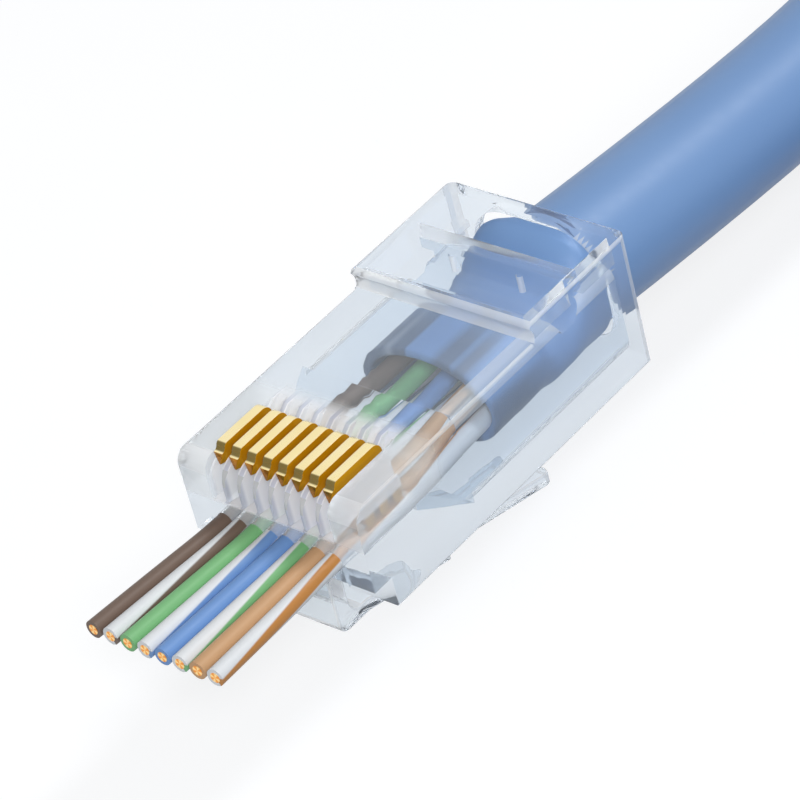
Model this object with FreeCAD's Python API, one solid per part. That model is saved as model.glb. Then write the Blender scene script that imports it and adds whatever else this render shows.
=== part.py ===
import FreeCAD, Part
import math
import os

# Modular plug with eight contacts on a round network cable, in millimetres.
# +X to the right, +Y from the nose towards the cable, +Z up. Lengths along Y are counted from the
# nose's front face and heights from the underside of the body, until seat() moves each piece so
# that the plug and its wires stand on the origin.

# --- Driving dimensions -------------------------------------------------------------------------

# Clear housing, outside
BODY_WIDTH = 11.68
BODY_LENGTH = 22.46
BODY_HEIGHT = 6.8
BLOCK_LENGTH = 8.2           # raised block at the cable end
BLOCK_WALL = 0.5             # block above and below the cable
BLOCK_HOLLOW = 0.22          # depth of the concave front face, as a share of its height
BLOCK_LIP = 0.3              # round on the block's front lip
NOSE_STEP_LENGTH = 1.3       # step under the nose, where the latch is rooted
NOSE_ROUND = 0.9             # top front edge
EDGE_ROUND = 0.16            # long outer edges
REAR_CORNER_ROUND = 0.6      # upright corners at the cable end

# Clear housing, inside
SIDE_WALL = 1.04
ROOF_WALL = 0.75
FLOOR_WALL = 0.7
CAVITY_ROUND = 0.7
FUNNEL_START = 5.3           # where the wire channels open into the funnel
FUNNEL_LENGTH = 3.3
CHANNEL_CLEARANCE = 0.03     # round each wire

# Contact comb in the nose
CONTACT_PITCH = 1.02
COMB_MARGIN = 0.14           # comb beyond the outer slots
COMB_DROP = 0.3              # rib tops below the body's top
COMB_SETBACK = 0.1           # rib fronts behind the nose's face
RIB_ROUND = 1.3
COMB_LENGTH = 4.95
COMB_RAMP = 0.45             # slope at the slots' rear ends
SLOT_DEPTH = 2.35            # from the body's top, at the front
SLOT_CLEARANCE = 0.01        # each side of a contact
MOUTH_FLARE = 0.14           # slots widen by this each side at their front
MOUTH_LENGTH = 0.55

# Strain relief in the block
POCKET_WALL = 0.74           # beside the pocket
POCKET_FRONT_WALL = 0.5
POCKET_REAR_WALL = 0.76
POCKET_FLOOR = 0.35          # above the cavity's roof
BAR_LENGTH = 1.0             # along the plug
BAR_START = 3.74             # behind the block's front face
BAR_DROP = 0.1               # bar's top below the block's top
RIDGE_DEPTH = 0.95           # ridge under the roof that grips the jacket
RIDGE_LENGTH = 1.0
WINDOW_MARGIN = 0.5          # window behind the bar, narrower than the cavity each side
POST_DIAMETER = 0.4          # two small posts on the bar's front face
POST_SPACING = 4.4
POST_HEIGHT = 1.0

# Contacts
CONTACT_THICKNESS = 0.56
CONTACT_FRONT = 0.78
CONTACT_REAR = 4.62
CONTACT_STAND = 0.5          # crown above the body's top
FOOT_DROP = 0.4              # front foot's top below the crown
FOOT_HEIGHT = 0.5
CROWN_RUN = 0.57             # from the foot back to the crown
CROWN_ROUND = 0.6            # rear end of the crown
BLADE_LENGTH = 2.7
TINE_COUNT = 3
TINE_GAP = 0.42
TINE_LENGTH = 1.05
TINE_CLEARANCE = 0.05        # above the wires, before crimping

# Wires, in their order from -X to +X
WIRE_COLOURS = [
    "brown", "white_brown", "green", "white_blue",
    "blue", "white_green", "orange", "white_orange",
]
WIRE_GAP = 0.02              # between neighbours in the nose
CONDUCTOR_DIAMETER = 0.57
WIRE_HEIGHT = 3.1            # centre of the row above the underside
WIRE_STICK_OUT = 9.4         # past the nose, not yet trimmed
TIP_SPREAD = 0.12            # extra pitch at the tips
TIP_RISE = 0.3
FAN_START = 0.8              # in front of the nose
THROAT_RUN = 1.2             # wires stay straight this far into the funnel
BUNDLE_MARGIN = 0.6          # between the outer wires' ends and the jacket's bore
BUNDLE_ROWS = 1.4            # between the two rows at the wires' ends
BUNDLE_DROP = 0.1            # bundle's middle below the cavity's
WIRE_INSIDE = 4.2            # length inside the jacket

# Cable
CABLE_DIAMETER = 7.0
JACKET_WALL = 0.55
JACKET_FRONT = 12.0
JACKET_SIDE_GAP = 0.5        # beside the jacket in the cavity
JACKET_FIT = 0.06            # above and below it
BORE_MARGIN = 0.4            # bore beyond the wires' ends
CABLE_OFFSET = 0.6           # cable leaves right of the middle

# Latch under the nose
LATCH_WIDTH = 5.0
LATCH_TAIL_WIDTH = 3.2
LATCH_TAIL_ROUND = 0.7       # corners of the tail's end
LATCH_LENGTH = 17.6
LATCH_SHOULDER = 8.4
LATCH_THICKNESS = 0.72
LATCH_DROP = 6.0             # lowest point of the tail below the body
HINGE_RADIUS = 0.5
HINGE_COVER = 0.17           # plastic between the root's groove and the wires' channels
HINGE_CLEARANCE = 0.04
HINGE_SIDE_CLEARANCE = 0.06
HINGE_SWING_ROOM = 0.65      # behind the root, for the swing
ROOT_SETBACK = 0.1           # root's front behind the nose's face
ROOT_DROP = 2.3
ROOT_ROUND = 0.6
ROOT_RUN = 1.5               # level stretch behind the root's rounded corner
ARCH_ROUND = 0.8             # inner corner of the root

# Free cable, its coil and its tie
COIL_RADIUS = 42.5           # of the first turn's centre line
COIL_PITCH = 7.2             # from the outer turn to the inner one
BEVEL_SHARE = 0.6            # bevel of the coil's solid, of half its height
TIE_WIDTH = 5.0
TIE_THICKNESS = 0.6

# --- Sizes that follow --------------------------------------------------------------------------

V = FreeCAD.Vector
WIRE_COUNT = len(WIRE_COLOURS)
WIRE_DIAMETER = CONTACT_PITCH - WIRE_GAP
WIRE_RADIUS = WIRE_DIAMETER / 2
CHANNEL_RADIUS = WIRE_RADIUS + CHANNEL_CLEARANCE
HALF_ROW = (WIRE_COUNT - 1) / 2 * CONTACT_PITCH
HALF_WIDTH = BODY_WIDTH / 2
BLOCK_HEIGHT = CABLE_DIAMETER + 2 * BLOCK_WALL
BLOCK_START = BODY_LENGTH - BLOCK_LENGTH
CAVITY_HALF = HALF_WIDTH - SIDE_WALL
CAVITY_ROOF = BODY_HEIGHT - ROOF_WALL
JACKET_HALF = CAVITY_HALF - JACKET_SIDE_GAP
FUNNEL_END = FUNNEL_START + FUNNEL_LENGTH
POCKET_HALF = HALF_WIDTH - POCKET_WALL
POCKET_REAR = BODY_LENGTH - POCKET_REAR_WALL
POCKET_BOTTOM = CAVITY_ROOF + POCKET_FLOOR
BAR_FRONT = BLOCK_START + BAR_START
BAR_REAR = BAR_FRONT + BAR_LENGTH
RIDGE_BOTTOM = CAVITY_ROOF - RIDGE_DEPTH
RIDGE_MIDDLE = BAR_FRONT - 0.3
CABLE_RADIUS = CABLE_DIAMETER / 2
MOUTH_CENTRE = BLOCK_HEIGHT / 2
COMB_HALF = HALF_ROW + CONTACT_THICKNESS / 2 + COMB_MARGIN
RIB_TOP = BODY_HEIGHT - COMB_DROP
SLOT_WIDTH = CONTACT_THICKNESS + 2 * SLOT_CLEARANCE
SLOT_FLOOR = BODY_HEIGHT - SLOT_DEPTH
BLADE_FRONT = COMB_LENGTH - 0.1 - BLADE_LENGTH
CROWN_TOP = BODY_HEIGHT + CONTACT_STAND
TINE_BOTTOM = WIRE_HEIGHT + WIRE_RADIUS + TINE_CLEARANCE
WIRE_END = JACKET_FRONT + WIRE_INSIDE
HINGE_Y = ROOT_SETBACK + HINGE_RADIUS
HINGE_Z = WIRE_HEIGHT - CHANNEL_RADIUS - HINGE_COVER - HINGE_CLEARANCE - HINGE_RADIUS
REST_SHIFT = V(0, -(BODY_LENGTH - WIRE_STICK_OUT) / 2, LATCH_DROP)
MITRE = 1                    # sweep's way of turning a corner
BEYOND = 1.0                 # cutting tools reach this far past the faces they open


# --- Helpers ------------------------------------------------------------------------------------

def seat(shape):
    """Move a piece from the plug's own datum to the model's origin."""
    moved = shape.copy()
    moved.translate(REST_SHIFT)
    return moved


def side_point(y, z, x=0.0):
    return V(x, y, z)


def prism(wire, half_width):
    """Solid between x = -half_width and +half_width over a closed wire in the YZ plane."""
    moved = wire.copy()
    moved.translate(V(-half_width, 0, 0))
    return Part.Face(moved).extrude(V(2 * half_width, 0, 0))


def side_polygon(points):
    corners = [side_point(y, z) for y, z in points]
    return Part.makePolygon(corners + corners[:1])


def box(x_low, x_high, y_low, y_high, z_low, z_high):
    return Part.makeBox(x_high - x_low, y_high - y_low, z_high - z_low, V(x_low, y_low, z_low))


def line(a, b):
    return Part.LineSegment(a, b).toShape()


def arc(a, middle, b):
    return Part.Arc(a, middle, b).toShape()


def quarter(centre, radius, start_deg):
    """Three points of a quarter circle in the YZ plane, from start_deg on by 90 degrees."""
    angles = [math.radians(start_deg + step) for step in (0, 45, 90)]
    return [centre + V(0, radius * math.cos(a), radius * math.sin(a)) for a in angles]


def rounded_tunnel(x_half, z_low, z_high, radius, y_low, y_high):
    """Straight tunnel along Y with a rounded rectangular section."""
    x_in = x_half - radius
    z_in_low = z_low + radius
    z_in_high = z_high - radius
    corners = [(x_in, z_in_high, 0), (-x_in, z_in_high, 90), (-x_in, z_in_low, 180), (x_in, z_in_low, 270)]
    edges = []
    previous = None
    first = None
    for x, z, start in corners:
        angles = [math.radians(start + step) for step in (0, 45, 90)]
        a, m, b = [V(x + radius * math.cos(t), y_low, z + radius * math.sin(t)) for t in angles]
        if previous is not None:
            edges.append(line(previous, a))
        else:
            first = a
        edges.append(arc(a, m, b))
        previous = b
    edges.append(line(previous, first))
    return Part.Face(Part.Wire(edges)).extrude(V(0, y_high - y_low, 0))


def oval(x, y, z, x_radius, z_radius):
    """Closed oval wire across the plug's length."""
    if abs(x_radius - z_radius) < 1e-6:
        edge = Part.Circle(V(0, 0, 0), V(0, 0, 1), x_radius).toShape()
    else:
        edge = Part.Ellipse(V(0, 0, 0), x_radius, z_radius).toShape()
    wire = Part.Wire(edge)
    wire.Placement = FreeCAD.Placement(V(x, y, z), FreeCAD.Rotation(V(1, 0, 0), 90))
    return wire


def rounded_route(points, label=None):
    """Straight runs joined by tangent arcs, each as large as its two runs allow."""
    edges = []
    start = points[0]
    radii = []
    for before, corner, after in zip(points, points[1:], points[2:]):
        towards = (corner - before).normalize()
        away = (after - corner).normalize()
        half_turn = towards.getAngle(away) / 2
        reach = 0.45 * min((corner - before).Length, (after - corner).Length)
        radius = reach / math.tan(half_turn)
        radii.append(radius)
        enter = corner - towards * reach
        leave = corner + away * reach
        inward = (away - towards).normalize()
        middle = corner + inward * (radius / math.cos(half_turn) - radius)
        edges.append(line(start, enter))
        edges.append(arc(enter, middle, leave))
        start = leave
    edges.append(line(start, points[-1]))
    if label:
        print(label, "radii", [round(r, 1) for r in radii])
    return Part.Wire(edges)


def tube(route, radius, start, towards):
    """Solid round bar along a route."""
    section = Part.Wire(Part.Circle(start, towards, radius).toShape())
    return route.makePipeShell([section], True, True)


def wire_x(index):
    return (index - (WIRE_COUNT - 1) / 2) * CONTACT_PITCH


# --- Housing ------------------------------------------------------------------------------------

def housing_outside():
    """Body with a step under its nose, level with the latch's root, and the raised block behind."""
    top = BODY_HEIGHT
    block_top = BLOCK_HEIGHT
    nose = quarter(side_point(NOSE_ROUND, top - NOSE_ROUND), NOSE_ROUND, 90)
    lip_round = min(BLOCK_LIP, (block_top - top) / 3)
    sweep = BLOCK_HOLLOW * (block_top - lip_round - top)
    foot = side_point(BLOCK_START + sweep / 2, top)
    hollow = side_point(BLOCK_START + sweep, (top + block_top - lip_round) / 2)
    lip = quarter(side_point(BLOCK_START + lip_round, block_top - lip_round), lip_round, 90)
    edges = [
        line(side_point(NOSE_STEP_LENGTH, 0), side_point(NOSE_STEP_LENGTH, HINGE_Z)),
        line(side_point(NOSE_STEP_LENGTH, HINGE_Z), side_point(0, HINGE_Z)),
        line(side_point(0, HINGE_Z), nose[2]),
        arc(nose[2], nose[1], nose[0]),
        line(nose[0], foot),
        arc(foot, hollow, lip[2]),
        arc(lip[2], lip[1], lip[0]),
        line(lip[0], side_point(BODY_LENGTH, block_top)),
        line(side_point(BODY_LENGTH, block_top), side_point(BODY_LENGTH, 0)),
        line(side_point(BODY_LENGTH, 0), side_point(NOSE_STEP_LENGTH, 0)),
    ]
    solid = prism(Part.Wire(edges), HALF_WIDTH)
    upright = [edge for edge in solid.Edges if is_upright_rear_edge(edge)]
    solid = solid.makeFillet(REAR_CORNER_ROUND, upright)
    body = rounded_tunnel(HALF_WIDTH, 0, BODY_HEIGHT, EDGE_ROUND, -BEYOND, BODY_LENGTH + BEYOND)
    block = rounded_tunnel(HALF_WIDTH, 0, BLOCK_HEIGHT, EDGE_ROUND, BLOCK_START, BODY_LENGTH + BEYOND)
    return solid.common(body.fuse(block))


def is_upright_rear_edge(edge):
    ends = [vertex.Point for vertex in edge.Vertexes]
    return all(abs(p.y - BODY_LENGTH) < 1e-6 for p in ends) and abs(ends[0].x - ends[-1].x) < 1e-6


def wire_channels():
    """Eight round channels from the nose's face to the funnel, merged side by side."""
    length = FUNNEL_START + BEYOND + 0.1
    channels = [
        Part.makeCylinder(CHANNEL_RADIUS, length, V(wire_x(i), -BEYOND, WIRE_HEIGHT), V(0, 1, 0))
        for i in range(WIRE_COUNT)
    ]
    return channels[0].multiFuse(channels[1:])


def funnel():
    """Tapered throat that brings the loose wires into their channels."""
    def frame_wire(y, x_half, z_low, z_high):
        corners = [V(-x_half, y, z_low), V(x_half, y, z_low), V(x_half, y, z_high), V(-x_half, y, z_high)]
        return Part.makePolygon(corners + corners[:1])
    small = frame_wire(
        FUNNEL_START, HALF_ROW + CHANNEL_RADIUS, WIRE_HEIGHT - CHANNEL_RADIUS, WIRE_HEIGHT + CHANNEL_RADIUS)
    large = frame_wire(FUNNEL_END, CAVITY_HALF, FLOOR_WALL, CAVITY_ROOF)
    return Part.makeLoft([small, large], True, True)


def cable_cavity():
    """Room for the wires and the jacket, with a rounder mouth at the rear."""
    room = rounded_tunnel(CAVITY_HALF, FLOOR_WALL, CAVITY_ROOF, CAVITY_ROUND, FUNNEL_END - 0.01, POCKET_REAR)
    mouth_low = BLOCK_WALL - JACKET_FIT
    mouth_high = BLOCK_HEIGHT - BLOCK_WALL + JACKET_FIT
    mouth_half = CABLE_RADIUS + CABLE_OFFSET + JACKET_FIT
    mouth = rounded_tunnel(
        mouth_half, mouth_low, mouth_high, CABLE_RADIUS - 1.0, BAR_REAR, BODY_LENGTH + BEYOND)
    return room.fuse(mouth)


def comb_relief():
    """What is cut away over and before the ribs between the contacts."""
    front = COMB_SETBACK
    crown = quarter(side_point(front + RIB_ROUND, RIB_TOP - RIB_ROUND), RIB_ROUND, 90)
    ceiling = BODY_HEIGHT + BEYOND
    edges = [
        line(side_point(-BEYOND, SLOT_FLOOR), side_point(front, SLOT_FLOOR)),
        line(side_point(front, SLOT_FLOOR), crown[2]),
        arc(crown[2], crown[1], crown[0]),
        line(crown[0], side_point(COMB_LENGTH, RIB_TOP)),
        line(side_point(COMB_LENGTH, RIB_TOP), side_point(COMB_LENGTH + COMB_RAMP, BODY_HEIGHT)),
        line(side_point(COMB_LENGTH + COMB_RAMP, BODY_HEIGHT), side_point(COMB_LENGTH + COMB_RAMP, ceiling)),
        line(side_point(COMB_LENGTH + COMB_RAMP, ceiling), side_point(-BEYOND, ceiling)),
        line(side_point(-BEYOND, ceiling), side_point(-BEYOND, SLOT_FLOOR)),
    ]
    return prism(Part.Wire(edges), COMB_HALF)


def slot_mouth():
    """Lead-in at the front of a slot, which leaves the ribs narrow at the nose."""
    narrow = SLOT_WIDTH / 2
    wide = narrow + MOUTH_FLARE
    rear = COMB_SETBACK + MOUTH_LENGTH
    corners = [
        (-wide, -BEYOND), (wide, -BEYOND), (wide, COMB_SETBACK),
        (narrow, rear), (-narrow, rear), (-wide, COMB_SETBACK),
    ]
    points = [V(x, y, SLOT_FLOOR) for x, y in corners]
    face = Part.Face(Part.makePolygon(points + points[:1]))
    return face.extrude(V(0, 0, BODY_HEIGHT + BEYOND - SLOT_FLOOR))


def contact_slots():
    """Eight slots, flared at the front, and down to the wires under the blades."""
    ceiling = BODY_HEIGHT + BEYOND
    blade_start = BLADE_FRONT - 0.05
    outline = side_polygon([
        (-BEYOND, SLOT_FLOOR),
        (blade_start, SLOT_FLOOR),
        (blade_start, WIRE_HEIGHT),
        (COMB_LENGTH, WIRE_HEIGHT),
        (COMB_LENGTH, RIB_TOP - COMB_RAMP),
        (COMB_LENGTH + 2 * COMB_RAMP, BODY_HEIGHT),
        (COMB_LENGTH + 2 * COMB_RAMP, ceiling),
        (-BEYOND, ceiling),
    ])
    slot = prism(outline, SLOT_WIDTH / 2).fuse(slot_mouth()).removeSplitter()
    slots = []
    for i in range(WIRE_COUNT):
        copy = slot.copy()
        copy.translate(V(wire_x(i), 0, 0))
        slots.append(copy)
    return Part.makeCompound(slots)


def strain_relief_pocket():
    pocket = box(-POCKET_HALF, POCKET_HALF, BLOCK_START + POCKET_FRONT_WALL, POCKET_REAR,
                 POCKET_BOTTOM, BLOCK_HEIGHT + BEYOND)
    window_half = CAVITY_HALF - WINDOW_MARGIN
    window = box(-window_half, window_half, BAR_REAR, POCKET_REAR,
                 CAVITY_ROOF - BEYOND, POCKET_BOTTOM + BEYOND)
    return pocket.fuse(window)


def strain_relief_bar():
    """Bar across the pocket, the gripping ridge under it and two small posts on its front."""
    ridge_front = RIDGE_MIDDLE - RIDGE_LENGTH / 2
    ridge_rear = RIDGE_MIDDLE + RIDGE_LENGTH / 2
    outline = side_polygon([
        (BAR_FRONT, BLOCK_HEIGHT - BAR_DROP),
        (BAR_REAR, BLOCK_HEIGHT - BAR_DROP),
        (BAR_REAR, CAVITY_ROOF),
        (ridge_rear, RIDGE_BOTTOM),
        (ridge_front, RIDGE_BOTTOM),
        (ridge_front - RIDGE_DEPTH / 2, CAVITY_ROOF),
        (ridge_front - RIDGE_DEPTH / 2, POCKET_BOTTOM),
        (BAR_FRONT, POCKET_BOTTOM),
    ])
    bar = prism(outline, CAVITY_HALF)
    top = box(-POCKET_HALF, POCKET_HALF, BAR_FRONT, BAR_REAR, POCKET_BOTTOM, BLOCK_HEIGHT - BAR_DROP)
    posts = [
        Part.makeCylinder(POST_DIAMETER / 2, POST_HEIGHT,
                          V(side * POST_SPACING / 2, BAR_FRONT, POCKET_BOTTOM))
        for side in (-1, 1)
    ]
    return bar.multiFuse([top] + posts)


def latch_seat():
    """Round groove for the latch's root and the room behind it."""
    half = LATCH_WIDTH / 2 + HINGE_SIDE_CLEARANCE
    radius = HINGE_RADIUS + HINGE_CLEARANCE
    groove = Part.makeCylinder(radius, 2 * half, V(-half, HINGE_Y, HINGE_Z), V(1, 0, 0))
    room = box(-half, half, -BEYOND, HINGE_Y + radius + HINGE_SWING_ROOM, -BEYOND, HINGE_Z)
    return groove.fuse(room)


def make_housing():
    solid = housing_outside()
    for tool in (comb_relief(), contact_slots(), wire_channels(), funnel(), cable_cavity(),
                 strain_relief_pocket(), latch_seat()):
        solid = solid.cut(tool)
    return solid.fuse(strain_relief_bar()).removeSplitter()


# --- Latch --------------------------------------------------------------------------------------

def make_latch():
    """Springy lever: rounded root in the nose, level stretch, long tail that slopes down."""
    front = HINGE_Y - HINGE_RADIUS
    back = HINGE_Y + HINGE_RADIUS
    corner = quarter(side_point(front + ROOT_ROUND, -ROOT_DROP + ROOT_ROUND), ROOT_ROUND, 180)
    knee = side_point(corner[2].y + ROOT_RUN, -ROOT_DROP)
    tail_low = side_point(LATCH_LENGTH, -LATCH_DROP)
    slope = (tail_low - knee).normalize()
    across = V(0, -slope.z, slope.y) * LATCH_THICKNESS
    tail_high = tail_low + across
    upper_level = LATCH_THICKNESS - ROOT_DROP
    upper_knee = knee + across + slope * ((LATCH_THICKNESS - across.z) / slope.z)
    arch = quarter(side_point(back + ARCH_ROUND, upper_level + ARCH_ROUND), ARCH_ROUND, 180)
    top = side_point(HINGE_Y, HINGE_Z + HINGE_RADIUS)
    edges = [
        line(side_point(front, HINGE_Z), corner[0]),
        arc(*corner),
        line(corner[2], knee),
        line(knee, tail_low),
        line(tail_low, tail_high),
        line(tail_high, upper_knee),
        line(upper_knee, arch[2]),
        arc(arch[2], arch[1], arch[0]),
        line(arch[0], side_point(back, HINGE_Z)),
        arc(side_point(back, HINGE_Z), top, side_point(front, HINGE_Z)),
    ]
    lever = prism(Part.Wire(edges), LATCH_WIDTH / 2)
    return lever.common(latch_outline())


def latch_outline():
    """The lever's outline from above: wide to the shoulders, then a narrow tail with round corners."""
    low = -LATCH_DROP - BEYOND
    height = LATCH_DROP + BODY_HEIGHT
    half_tail = LATCH_TAIL_WIDTH / 2
    wide = box(-LATCH_WIDTH, LATCH_WIDTH, -BEYOND, LATCH_SHOULDER, low, low + height)
    corner_x = half_tail - LATCH_TAIL_ROUND
    corner_y = LATCH_LENGTH - LATCH_TAIL_ROUND
    tail = box(-half_tail, half_tail, 0, corner_y, low, low + height)
    end = box(-corner_x, corner_x, 0, LATCH_LENGTH, low, low + height)
    corners = [
        Part.makeCylinder(LATCH_TAIL_ROUND, height, V(x, corner_y, low)) for x in (-corner_x, corner_x)
    ]
    return wide.multiFuse([tail, end] + corners)


# --- Contacts -----------------------------------------------------------------------------------

def contact_outline():
    """Side view of a contact: S-shaped foot, flat crown, and a blade with three round tines."""
    foot_top = CROWN_TOP - FOOT_DROP
    foot_bottom = foot_top - FOOT_HEIGHT
    blade_rear = BLADE_FRONT + BLADE_LENGTH
    half_run = CROWN_RUN / 2
    s_middle = side_point(CONTACT_FRONT + half_run, foot_top + FOOT_DROP / 2)
    s_low = side_point(CONTACT_FRONT + half_run * 0.62, foot_top + FOOT_DROP * 0.12)
    s_high = side_point(CONTACT_FRONT + half_run * 1.38, CROWN_TOP - FOOT_DROP * 0.12)
    crown_start = side_point(CONTACT_FRONT + CROWN_RUN, CROWN_TOP)
    crown_end = quarter(side_point(CONTACT_REAR - CROWN_ROUND, CROWN_TOP - CROWN_ROUND), CROWN_ROUND, 0)
    edges = [
        line(side_point(CONTACT_FRONT, foot_bottom), side_point(CONTACT_FRONT, foot_top)),
        arc(side_point(CONTACT_FRONT, foot_top), s_low, s_middle),
        arc(s_middle, s_high, crown_start),
        line(crown_start, crown_end[2]),
        arc(crown_end[2], crown_end[1], crown_end[0]),
        line(crown_end[0], side_point(CONTACT_REAR, foot_bottom)),
        line(side_point(CONTACT_REAR, foot_bottom), side_point(blade_rear, foot_bottom - 0.4)),
    ]
    tine_width = (BLADE_LENGTH - (TINE_COUNT - 1) * TINE_GAP) / TINE_COUNT
    radius = tine_width / 2
    gap_bevel = TINE_GAP / 3
    gap_top = TINE_BOTTOM + TINE_LENGTH
    here = side_point(blade_rear, foot_bottom - 0.4)
    for tine in range(TINE_COUNT):
        rear = blade_rear - tine * (tine_width + TINE_GAP)
        low = [side_point(rear, TINE_BOTTOM + radius), side_point(rear - radius, TINE_BOTTOM),
               side_point(rear - tine_width, TINE_BOTTOM + radius)]
        edges.append(line(here, low[0]))
        edges.append(arc(*low))
        here = low[2]
        if tine < TINE_COUNT - 1:
            gap = [here, side_point(here.y, gap_top - gap_bevel), side_point(here.y - gap_bevel, gap_top),
                   side_point(here.y - TINE_GAP + gap_bevel, gap_top),
                   side_point(here.y - TINE_GAP, gap_top - gap_bevel)]
            edges.extend(line(a, b) for a, b in zip(gap, gap[1:]))
            here = gap[-1]
    shoulder = side_point(BLADE_FRONT, foot_bottom - 0.6)
    edges.append(line(here, shoulder))
    edges.append(line(shoulder, side_point(CONTACT_FRONT, foot_bottom)))
    return Part.Wire(edges)


def make_contact(index):
    contact = prism(contact_outline(), CONTACT_THICKNESS / 2)
    contact.translate(V(wire_x(index), 0, 0))
    return contact


# --- Wires --------------------------------------------------------------------------------------

def wire_points(index):
    """Route of one wire: fanned tip, straight channel, then spread into two rows inside the jacket."""
    x = wire_x(index)
    row = -0.5 if index % 2 else 0.5
    bundle_half = JACKET_HALF - JACKET_WALL - WIRE_RADIUS - BUNDLE_MARGIN
    bundle_middle = (FLOOR_WALL + CAVITY_ROOF) / 2 - BUNDLE_DROP
    return [
        V(x * (CONTACT_PITCH + TIP_SPREAD) / CONTACT_PITCH, -WIRE_STICK_OUT, WIRE_HEIGHT + TIP_RISE),
        V(x, -FAN_START, WIRE_HEIGHT),
        V(x, FUNNEL_START + THROAT_RUN, WIRE_HEIGHT),
        V(x * bundle_half / HALF_ROW, WIRE_END, bundle_middle + row * BUNDLE_ROWS),
    ]


def wire_solid(index, radius):
    """Round bar along the wire's straight runs, mitred at its slight bends."""
    points = wire_points(index)
    section = Part.Wire(Part.Circle(points[0], points[1] - points[0], radius).toShape())
    return Part.makePolygon(points).makePipeShell([section], True, False, MITRE)


def make_conductor(index):
    return wire_solid(index, CONDUCTOR_DIAMETER / 2)


def make_insulation(index):
    return wire_solid(index, WIRE_RADIUS).cut(make_conductor(index))


# --- Cable --------------------------------------------------------------------------------------

def jacket_sections():
    """Place and half sizes of the jacket's section: oval, pressed under the ridge, round at the mouth."""
    middle = (FLOOR_WALL + CAVITY_ROOF) / 2
    height = (CAVITY_ROOF - FLOOR_WALL) / 2 - JACKET_FIT
    grip_middle = (FLOOR_WALL + RIDGE_BOTTOM) / 2
    grip_height = (RIDGE_BOTTOM - FLOOR_WALL) / 2 - JACKET_FIT
    grip_reach = RIDGE_LENGTH / 2 + JACKET_FIT
    return [
        (JACKET_FRONT, 0, middle, JACKET_HALF, height),
        (RIDGE_MIDDLE - grip_reach - RIDGE_DEPTH, 0, middle, JACKET_HALF, height),
        (RIDGE_MIDDLE - grip_reach, 0, grip_middle, JACKET_HALF, grip_height),
        (RIDGE_MIDDLE + grip_reach, 0, grip_middle, JACKET_HALF, grip_height),
        (BODY_LENGTH, CABLE_OFFSET, MOUTH_CENTRE, CABLE_RADIUS, CABLE_RADIUS),
    ]


def jacket_form():
    return Part.makeLoft([oval(x, y, z, a, b) for y, x, z, a, b in jacket_sections()], True, True)


def make_cable_jacket():
    """Jacket with a straight oval bore where the wires leave it, in front of the ridge."""
    y, x, z, x_radius, z_radius = jacket_sections()[0]
    face = Part.Face(oval(x, y, z, x_radius - JACKET_WALL, z_radius - JACKET_WALL))
    return jacket_form().cut(face.extrude(V(0, WIRE_END + BORE_MARGIN - y, 0)))


def cable_route():
    """Free cable from the mouth down to the surface, where its coil begins."""
    surface = -LATCH_DROP + CABLE_RADIUS
    return [
        V(CABLE_OFFSET, BODY_LENGTH, MOUTH_CENTRE),
        V(CABLE_OFFSET + 0.7, BODY_LENGTH + 19.5, MOUTH_CENTRE - 0.9),
        V(CABLE_OFFSET + 1.0, BODY_LENGTH + 31.5, MOUTH_CENTRE - 3.0),
        V(CABLE_OFFSET + 1.2, BODY_LENGTH + 44.0, surface),
        V(CABLE_OFFSET + 2.2, BODY_LENGTH + 54.5, surface),
    ]


def make_cable_run():
    points = cable_route()
    route = rounded_route(points, "cable run")
    run = tube(route, CABLE_RADIUS, points[0], V(0, 1, 0))
    print("cable run length %.2f volume %.1f against %.1f" % (
        route.Length, run.Volume, math.pi * CABLE_RADIUS ** 2 * route.Length))
    return run


def coil_centre():
    start = cable_route()[-2]
    return V(start.x + COIL_RADIUS, start.y, start.z)


def coil_section(centre, radial_low, radial_high, half_height):
    """Flat section with bevelled ends, across the coil, in the YZ plane beside its axis."""
    bevel = half_height * BEVEL_SHARE
    low = centre.y + radial_low
    high = centre.y + radial_high
    top = centre.z + half_height
    bottom = centre.z - half_height
    corners = [
        (low + bevel, top), (high - bevel, top), (high, top - bevel), (high, bottom + bevel),
        (high - bevel, bottom), (low + bevel, bottom), (low, bottom + bevel), (low, top - bevel),
    ]
    points = [V(centre.x, y, z) for y, z in corners]
    return Part.makePolygon(points + points[:1])


def coil_band():
    """Inner and outer radius of the two turns, lying one inside the other."""
    outer = COIL_RADIUS + CABLE_RADIUS
    inner = COIL_RADIUS - COIL_PITCH - CABLE_RADIUS
    return inner, outer


def make_cable_coil():
    centre = coil_centre()
    inner, outer = coil_band()
    section = Part.Face(coil_section(centre, inner, outer, CABLE_RADIUS))
    return section.revolve(centre, V(0, 0, 1), 360)


def make_coil_tie():
    """Flat tie round the turns, resting on the same surface as the cable."""
    centre = coil_centre()
    inner, outer = coil_band()
    lifted = centre + V(0, 0, TIE_THICKNESS)
    hole = coil_section(lifted, inner, outer, CABLE_RADIUS)
    rim = coil_section(lifted, inner - TIE_THICKNESS, outer + TIE_THICKNESS, CABLE_RADIUS + TIE_THICKNESS)
    band = Part.Face(rim).extrude(V(TIE_WIDTH, 0, 0)).cut(Part.Face(hole).extrude(V(TIE_WIDTH, 0, 0)))
    band.translate(V(-TIE_WIDTH / 2, 0, 0))
    return band


# --- Writing ------------------------------------------------------------------------------------

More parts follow.
